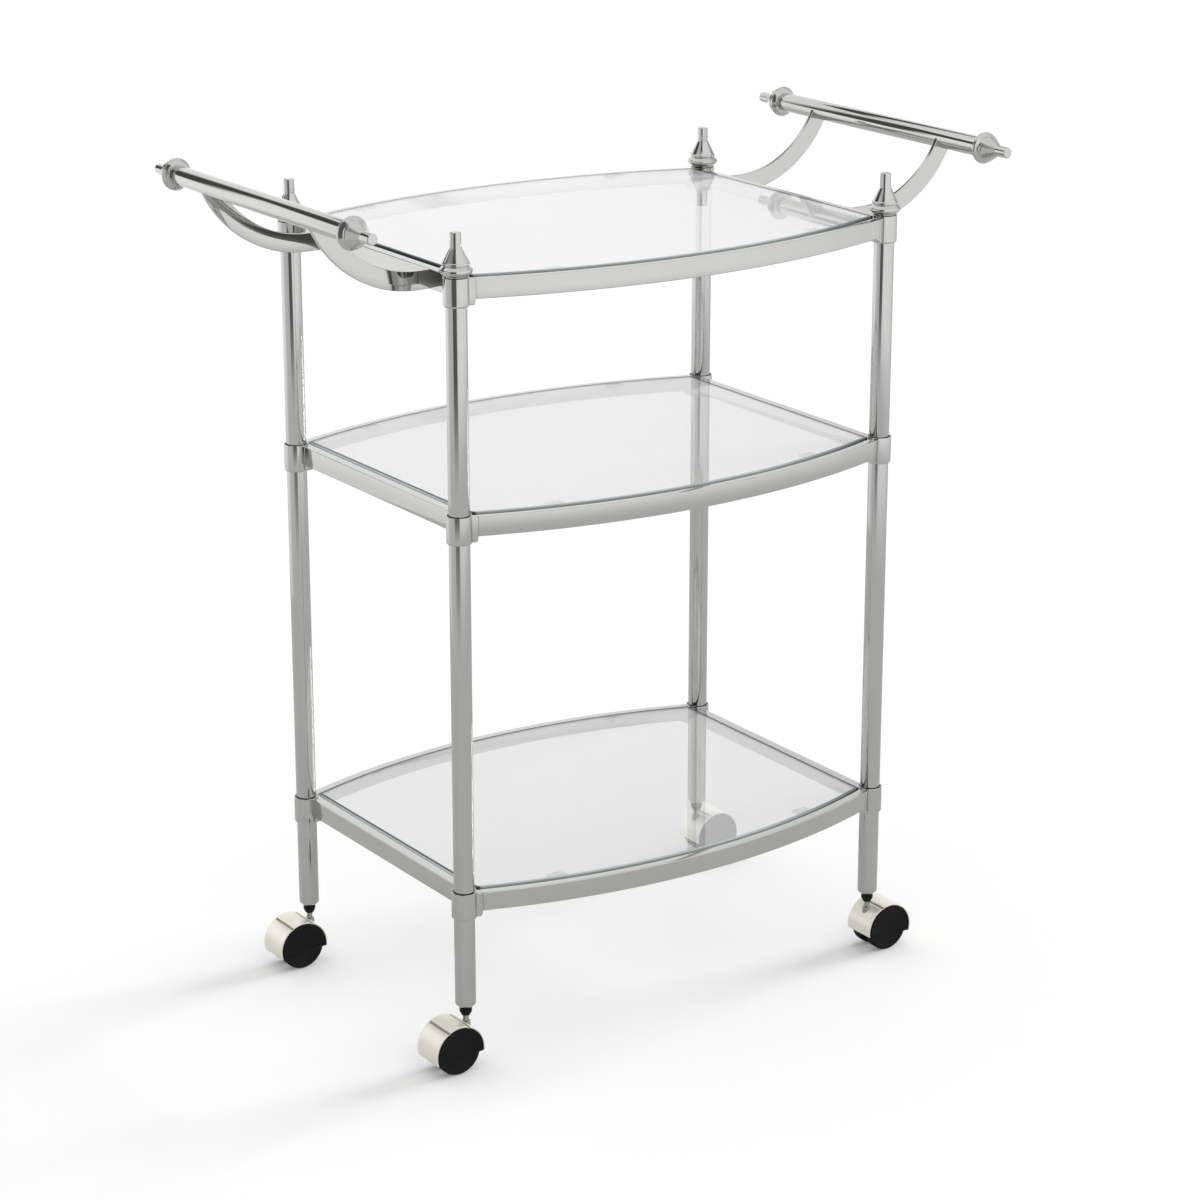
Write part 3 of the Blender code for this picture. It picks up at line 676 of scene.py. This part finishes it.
class TROLLEY_OT_glass(Operator):
    """Make the glass shelves with their green edges"""
    bl_idname = "trolley.glass"
    bl_label = "Glass shelves"

    def execute(self, context):
        sizes = context.scene.trolley_sizes
        soft, border = sizes.glass_round, sizes.glass_border

        def outline(inset):
            """The pane's plan, straight at both ends and bowed at the front and the back."""
            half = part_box("shelf_glass_top")[1].x - inset
            x = half * np.linspace(-1, 1, BOW_POINTS)
            back = bow(x, sizes.bowed_width + sizes.glass_gap + inset)
            return np.concatenate([back * (1, -1), back[::-1]])

        for level in LEVELS:
            node = "shelf_glass_" + level
            low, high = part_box(node)
            levels = [(border, low.z), (soft, low.z), (0, low.z + soft), (0, high.z - soft), (soft, high.z),
                      (border, high.z)]
            levels = softened(levels, soft / 3)
            pane = slab(outline, levels)
            pane.singled[:] = True
            make_piece("pane_" + level, [pane], "glass", "cart", [node], "glass_edge")
        return {"FINISHED"}


def finial_profile(sizes, plug):
    """A finial's outline from its plug's end to its tip, as (radius, height) corners in millimetres
    that are then scaled and rounded."""
    foot = [(11.4, 0), (11.4, 1.5), (13, 1.6)]
    flange = [(15.9, 4.5), (16.5, 5.4), (16.5, 7.2), (15.8, 8.2)]
    groove = [(12.6, 10.9), (13.7, 12)]
    cone = [(13.7, 13.9), (12.9, 14.6), (6.3, 27.2)]
    tip = [(5.8, 28.4), (5.6, 42.7), (5, 43.4), (0, 43.4)]
    turned = np.array(foot + flange + groove + cone + tip) * MM
    spigot = np.array([(0, -sizes.spigot), (plug, -sizes.spigot), (plug, 0)])
    return softened(np.concatenate([spigot, turned]), sizes.finial_round, steps=3)


class TROLLEY_OT_finials(Operator):
    """Make the turned finials on the posts and in the handle bars' ends"""
    bl_idname = "trolley.finials"
    bl_label = "Finials"

    def execute(self, context):
        sizes = context.scene.trolley_sizes
        clear = sizes.tube_wall + sizes.seat_gap
        on_post = lathe(finial_profile(sizes, sizes.post_radius - clear), sizes.turn_steps)
        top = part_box("shelf_frame_top")[1].z + sizes.seat_gap
        for corner in CORNERS:
            finial = on_post.moved(post_place(corner) + (0, 0, top))
            make_piece("finial_post_" + corner, [finial], "chrome", "cart", ["post_finial_" + corner])
        in_bar = lathe(finial_profile(sizes, sizes.bar_radius - clear), sizes.turn_steps)
        for side in ("left", "right"):
            low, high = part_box("handle_bar_" + side)
            middle = node_middle("handle_bar_" + side)
            for end, sign, y in (("front", -1, low.y), ("back", 1, high.y)):
                finial = in_bar.lying(sign).moved((middle.x, y + sign * sizes.seat_gap, middle.z))
                node = f"handle_finial_{end}_{side}"
                make_piece(f"finial_bar_{end}_{side}", [finial], "chrome", "cart", [node])
        return {"FINISHED"}


class TROLLEY_OT_handles(Operator):
    """Make the handle bars and their curved arms"""
    bl_idname = "trolley.handles"
    bl_label = "Handles"

    def execute(self, context):
        sizes = context.scene.trolley_sizes
        for side, x_side in (("left", -1), ("right", 1)):
            node = "handle_bar_" + side
            middle = node_middle(node)
            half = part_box(node)[1].y
            bar = tube(sizes.bar_radius, sizes.bar_radius - sizes.tube_wall, -half, half, sizes.seat_gap,
                       sizes.turn_steps)
            make_piece("bar_" + side, [bar.lying(1).moved((middle.x, 0, middle.z))], "chrome", "cart", [node])
            for end in ("front", "back"):
                node = f"handle_arm_{end}_{side}"
                arm = self.arm(sizes, middle).signed(x_side, 1).moved((0, node_middle(node).y, 0))
                make_piece(f"arm_{end}_{side}", [arm], "chrome", "cart", [node])
        return {"FINISHED"}

    def arm(self, sizes, bar):
        """A flat bar on edge: its rounded section runs straight off the rail, then along a circular
        arc up into the handle bar's underside."""
        foot = rail_middle("top")
        start = frame_half()
        bend = start + sizes.seat_gap + sizes.arm_straight
        run = abs(bar.x) - bend
        rise = bar.z - foot
        radius = (run ** 2 + rise ** 2) / (2 * rise)
        reach = math.atan2(run, radius - rise) - sizes.arm_short / radius
        arc = np.linspace(0, reach, ARM_POINTS)
        lean = np.concatenate([[0.0], arc])
        x = np.concatenate([[start], bend + radius * np.sin(arc)])
        z = np.concatenate([[foot], foot + radius * (1 - np.cos(arc))])
        section = bar_section(sizes.arm_thickness, sizes.arm_width, sizes.arm_round)
        out = section[None, :, 1]
        points = np.stack([x[:, None] - out * np.sin(lean)[:, None],
                           np.broadcast_to(section[None, :, 0], (len(x), len(section))),
                           z[:, None] + out * np.cos(lean)[:, None]], axis=-1)
        return capped(points)


class TROLLEY_OT_casters(Operator):
    """Make the casters: sockets, stems, housings, hoods and wheels"""
    bl_idname = "trolley.casters"
    bl_label = "Casters"

    def execute(self, context):
        sizes = context.scene.trolley_sizes
        housing = self.housing(sizes)
        hood = self.hood(sizes)
        wheel = self.wheel(sizes)
        for corner, (x_side, _) in CORNERS.items():
            body = "caster_" + corner
            place = post_place(corner)
            pieces = (("socket", [self.socket(sizes, corner)], "cart", "black_plastic", None),
                      ("stem", [self.stem(sizes, corner)], body, "steel", None),
                      ("housing", housing, body, "black_plastic", None),
                      # The hood's groove faces take painted shade as their second finish.
                      ("hood", [hood], body, "nickel", "tarnish"))
            for kind, shells, carrier, slot, second in pieces:
                set_out = [shell.signed(x_side, x_side).moved(place) for shell in shells]
                make_piece(f"{kind}_{corner}", set_out, slot, carrier, [f"caster_{kind}_{corner}"], second)
            for which in ("inner", "outer"):
                node = f"wheel_{which}_{corner}"
                make_piece("tyre_" + node, [wheel.moved(node_middle(node))], "wheel", node, [node])
            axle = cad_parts["caster_axle_" + corner]
            axle.data.materials.clear()
            axle.data.materials.append(finish_of("steel"))
        return {"FINISHED"}

    def socket(self, sizes, corner):
        """The black plug in the leg's mouth, straight and then tapered down to the stem."""
        low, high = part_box("caster_socket_" + corner)
        bore = sizes.stem_radius + sizes.seat_gap
        bore_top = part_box("caster_stem_" + corner)[1].z + sizes.seat_gap
        plug = sizes.leg_mouth - sizes.seat_gap
        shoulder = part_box("leg_" + corner)[0].z - sizes.socket_straight
        corners = [(0, bore_top), (bore, bore_top), (bore, low.z), (sizes.socket_foot, low.z),
                   (plug, shoulder), (plug, high.z), (0, high.z)]
        return lathe(softened(corners, sizes.stem_round), sizes.turn_steps)

    def stem(self, sizes, corner):
        """The bright stem with a shoulder where it enters the hood."""
        low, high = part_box("caster_stem_" + corner)
        hood_z = sizes.wheel_radius + math.sqrt(sizes.hood_radius ** 2 - sizes.trail ** 2)
        radius, shoulder = sizes.stem_radius, sizes.shoulder_radius
        below = hood_z - sizes.shoulder_below
        corners = [(0, low.z), (radius, low.z), (radius, below), (shoulder, below),
                   (shoulder, hood_z + sizes.shoulder_rim), (radius, hood_z + sizes.shoulder_top),
                   (radius, high.z), (0, high.z)]
        return lathe(softened(corners, sizes.stem_round), sizes.turn_steps)

    def cut_disc(self, radius, drop):
        """The outline of a disc cut flat at drop below its middle, as a function of an inset."""
        def outline(inset):
            reach = radius - inset
            start = -math.asin((drop - inset) / reach)
            turn = np.linspace(start, math.pi - start, DISC_POINTS)
            return reach * np.column_stack([np.cos(turn), np.sin(turn)])
        return outline

    def standing(self, sizes, shell):
        """Stands a shape drawn in XY about the axle, with its thickness along Y, leaning down behind."""
        x, y, z = shell.points.T
        cos, sin = math.cos(sizes.hood_tilt), math.sin(sizes.hood_tilt)
        behind = x * cos + y * sin + sizes.trail
        above = y * cos - x * sin + sizes.wheel_radius
        return shell.mapped(np.stack([behind, z, above], axis=1))

    def housing(self, sizes):
        """Two dished side caps and a middle web, each a cut disc, under one roof."""
        half, cap, edge, drop = sizes.web_half, sizes.cap_thickness, sizes.hood_round, sizes.housing_drop
        outer = half + sizes.wheel_width + sizes.wheel_room + cap
        radius = sizes.hood_radius - sizes.hood_wall - sizes.seat_gap
        disc = self.cut_disc(radius, drop)
        web = [(edge, -half), (0, edge - half), (0, half - edge), (edge, half)]
        shells = [slab(disc, web)]
        bevel = sizes.stem_round
        back = [(bevel, -cap), (0, bevel - cap)]
        rim = np.array([(0, -0.9), (0.3, -0.3), (0.9, 0), (2.2, 0)]) * MM
        dish = np.array([(2.9, -0.5), (3.4, -0.6)]) * MM
        steps = np.concatenate([back, rim, dish])
        for sign in (-1, 1):
            shells.append(slab(disc, [(inset, sign * (outer + height)) for inset, height in steps]))
        roof = self.barrel(sizes, radius - sizes.roof_wall, radius, outer - sizes.seat_gap, drop - edge, 0.0)
        return [self.standing(sizes, shell) for shell in [*shells, roof]]

    def barrel(self, sizes, bore, radius, half, drop, groove):
        """A curved shell over the axle: a rounded section carried round by angle, its outside sunk by
        two narrow steep-sided grooves, one either side of the top, that take the second finish, which paints
        shade into them."""
        corners = [(bore, -half), (radius, -half), (radius, half), (bore, half)]
        section = softened(corners, sizes.hood_round, closed=True)
        start = -math.asin(drop / radius)
        turn = np.linspace(start, math.pi - start, HOOD_POINTS)
        from_top = np.abs(turn - math.pi / 2)
        hollow = groove * np.exp(-((from_top - sizes.groove_place) / sizes.groove_half) ** 4)
        is_outer = section[:, 0] > (bore + radius) / 2
        reach = section[None, :, 0] - hollow[:, None] * is_outer
        points = np.stack([reach * np.cos(turn)[:, None], reach * np.sin(turn)[:, None],
                           np.broadcast_to(section[:, 1], reach.shape)], axis=-1)
        shell = capped(points)
        outside = is_outer & np.roll(is_outer, -1)
        shell.singled = ((hollow > groove / 2)[:-1, None] & outside).ravel()
        return shell

    def hood(self, sizes):
        """The bright shell over the wheels: a grooved barrel."""
        radius = sizes.hood_radius
        bore = radius - sizes.hood_wall
        shell = self.barrel(sizes, bore, radius, sizes.hood_half, sizes.hood_drop, sizes.hood_groove)
        return self.standing(sizes, shell)

    def wheel(self, sizes):
        """A wheel about Y with a rounded tread and dished sides."""
        half, radius, hub, dish = sizes.wheel_width / 2, sizes.wheel_radius, sizes.wheel_hub, sizes.wheel_dish
        rim = radius - sizes.wheel_rim
        tread = sizes.tread_round
        side = np.array([(sizes.axle_hole, -half), (hub, -half), (hub + dish, dish - half),
                         (rim - dish, dish - half), (rim, -half), (radius - tread, -half),
                         (radius, tread - half)])
        profile = softened(np.concatenate([side, side[::-1] * (1, -1)]), sizes.small_round, closed=True)
        return lathe(profile, sizes.turn_steps, ring=True).lying(1)


class TROLLEY_OT_stage(Operator):
    """Set up the floor, the studio light and the camera"""
    bl_idname = "trolley.stage"
    bl_label = "Stage"

    def execute(self, context):
        scene = context.scene
        scene.view_settings.view_transform = "Standard"
        self.floor(scene)
        self.studio_wall(scene)
        self.light(scene)
        self.camera(scene)
        return {"FINISHED"}

    def floor(self, scene):
        """A wide plain floor of rings; it is seen nearly white and keeps the cart's soft shadow."""
        stage = scene.trolley_stage
        radius = np.array([0.6, 2.0, 6.0, 16.0, 40.0])[:, None]
        turn = 2 * np.pi * np.arange(FLOOR_STEPS) / FLOOR_STEPS
        level = np.zeros((len(radius), FLOOR_STEPS))
        rings = np.stack([radius * np.cos(turn), radius * np.sin(turn), level], axis=-1).reshape(-1, 3)
        points = np.concatenate([rings, [(0, 0, 0)]])
        bands = grid_quads(len(radius), FLOOR_STEPS)[:, ::-1]
        faces = bands.tolist() + fan(len(rings), 0, FLOOR_STEPS).tolist()
        shade = new_shade("floor_paint")
        colours = scene.trolley_colours
        tone = toned(shade, shade.noise(0.7, 2.0), colours.floor, 0.995, 1.0)
        tone = shade.blend(shade.ray("Glossy"), tone, colours.floor_mirrored)
        paint = shade.node("ShaderNodeBsdfDiffuse", None, {"Color": tone})
        white = shade.node("ShaderNodeEmission", None, {"Color": WHITE, "Strength": 1.0})
        seen = shade.ray("Camera") + shade.ray("Transmission")
        material = shade.finished(shade.mixed(seen * stage.floor_white, paint, white))
        self.staged(scene, "floor", points, faces, material)

    def studio_wall(self, scene):
        """The round studio wall that only polished metal sees."""
        stage = scene.trolley_stage
        turn = 2 * np.pi * np.arange(WALL_STEPS) / WALL_STEPS
        circle = stage.wall_radius * np.column_stack([np.cos(turn), np.sin(turn), np.zeros(WALL_STEPS)])
        points = np.concatenate([circle, circle + (0, 0, stage.wall_height)])
        faces = grid_quads(2, WALL_STEPS).tolist()
        material = self.wall_paint(scene.trolley_colours.wall_panel)
        wall = self.staged(scene, "studio_wall", points, faces, material)
        wall.visible_camera = False
        wall.visible_diffuse = False
        wall.visible_shadow = False
        wall.visible_transmission = False

    def wall_paint(self, panel_colour):
        """Greys by compass direction, from 0 at -X through -Y at a quarter, that fade into the floor's grey
        at the foot, and high dark panels for the handle bars to mirror: on the left, behind, and one with
        a slanting foot on the right."""
        shade = new_shade("studio_wall_paint")
        place = shade.position()
        compass = shade.node("ShaderNodeTexGradient", {"gradient_type": "RADIAL"}, {"Vector": place})
        up = shade.node("ShaderNodeSeparateXYZ", None, {0: place}, 2)
        high = [(0.0, 0.75), (0.05, 0.72), (0.07, 0.14), (0.145, 0.14), (0.168, 1.1), (0.25, 1.18),
                (0.4, 1.12), (0.46, 1.0), (0.52, 0.7), (0.58, 0.8), (0.66, 1.1), (0.76, 1.1), (0.82, 1.25),
                (0.88, 1.25), (0.95, 0.78)]
        low = [(0.0, 0.7), (0.7, 0.7), (0.82, 1.0), (0.88, 1.0), (0.95, 0.7)]
        upper = shade.node("ShaderNodeValToRGB", {"stops": high}, {0: compass})
        foot = shade.node("ShaderNodeValToRGB", {"stops": low}, {0: compass})
        grey = shade.blend(shade.step(up, 0.0, 0.45), foot, upper)
        behind = shade.step(compass, 0.775, 0.81)
        tall = behind * shade.step(compass, 0.86, 0.84) * shade.step(up, 0.95, 1.05)
        beside = behind - 0.5 * shade.step(compass, 0.9, 0.96) + 0.5 * shade.step(compass, 0.1, 0.05)
        wide = beside * shade.step(up, 1.42, 1.65)
        slant = up - 4.3 * compass
        right = shade.step(compass, 0.6, 0.64) * shade.step(compass, 0.755, 0.74)
        right = right * shade.step(slant, -1.06, -0.98)
        panel = tall.most(wide).most(right) * shade.step(up, 2.4, 2.2)
        grey = shade.blend(panel, grey, panel_colour)
        return shade.finished(shade.node("ShaderNodeEmission", None, {"Color": grey, "Strength": 1.0}))

    def staged(self, scene, name, points, faces, material):
        """Makes a mesh that belongs to the stage and not to the cart."""
        mesh = bpy.data.meshes.new(name)
        mesh.from_pydata(points.tolist(), [], faces)
        mesh.materials.append(material)
        stand = bpy.data.objects.new(name, mesh)
        scene.collection.objects.link(stand)
        return stand

    def light(self, scene):
        """A soft sun from the right, and an even pale dome that is seen and mirrored white."""
        stage = scene.trolley_stage
        lamp = bpy.data.lights.new("key", "SUN")
        lamp.energy = stage.key
        lamp.angle = stage.key_angle
        key = bpy.data.objects.new("key", lamp)
        scene.collection.objects.link(key)
        key.visible_glossy = False
        key.rotation_euler = Vector(stage.key_aim).to_track_quat("-Z", "Y").to_euler()
        scene.world = bpy.data.worlds.new("studio")
        shade = Shade(scene.world)
        seen = shade.ray("Camera") + shade.ray("Glossy") + shade.ray("Transmission")
        white = shade.node("ShaderNodeBackground", None, {"Color": WHITE, "Strength": 1.0})
        soft = shade.node("ShaderNodeBackground", None, {"Color": WHITE, "Strength": stage.dome})
        shade.node("ShaderNodeOutputWorld", None, {"Surface": shade.mixed(seen, soft, white)})

    def camera(self, scene):
        """A camera on a sphere round the point it looks at, by azimuth, elevation and distance."""
        stage = scene.trolley_stage
        target = Vector((0.0, -stage.look_forward, stage.look_height))
        flat = math.cos(stage.elevation)
        back = Vector((-math.sin(stage.azimuth) * flat, -math.cos(stage.azimuth) * flat,
                       math.sin(stage.elevation)))
        data = bpy.data.cameras.new("camera")
        data.lens = stage.lens
        camera = bpy.data.objects.new("camera", data)
        scene.collection.objects.link(camera)
        camera.location = target + back * stage.distance
        camera.rotation_euler = (-back).to_track_quat("-Z", "Y").to_euler()
        scene.camera = camera


OPERATORS = (TROLLEY_OT_posts, TROLLEY_OT_frames, TROLLEY_OT_glass, TROLLEY_OT_finials, TROLLEY_OT_handles,
             TROLLEY_OT_casters, TROLLEY_OT_stage)


class TROLLEY_PT_panel(Panel):
    """Lists the cart's pieces and its stage"""
    bl_idname = "TROLLEY_PT_panel"
    bl_label = "Trolley Cart"
    bl_space_type = "VIEW_3D"
    bl_region_type = "UI"
    bl_category = "Trolley"

    def draw(self, context):
        for operator in OPERATORS:
            self.layout.operator(operator.bl_idname)


GROUPS = {"trolley_sizes": TrolleySizes, "trolley_colours": TrolleyColours, "trolley_stage": TrolleyStage}
CLASSES = (*GROUPS.values(), *OPERATORS, TROLLEY_PT_panel)


def register():
    for cls in CLASSES:
        bpy.utils.register_class(cls)
    for name, group in GROUPS.items():
        setattr(bpy.types.Scene, name, PointerProperty(type=group))


def unregister():
    for name in GROUPS:
        delattr(bpy.types.Scene, name)
    for cls in reversed(CLASSES):
        bpy.utils.unregister_class(cls)


def main():
    register()
    bpy.ops.trolley.posts()
    bpy.ops.trolley.frames()
    bpy.ops.trolley.glass()
    bpy.ops.trolley.finials()
    bpy.ops.trolley.handles()
    bpy.ops.trolley.casters()
    bpy.ops.trolley.stage()


if __name__ == "__main__":
    main()
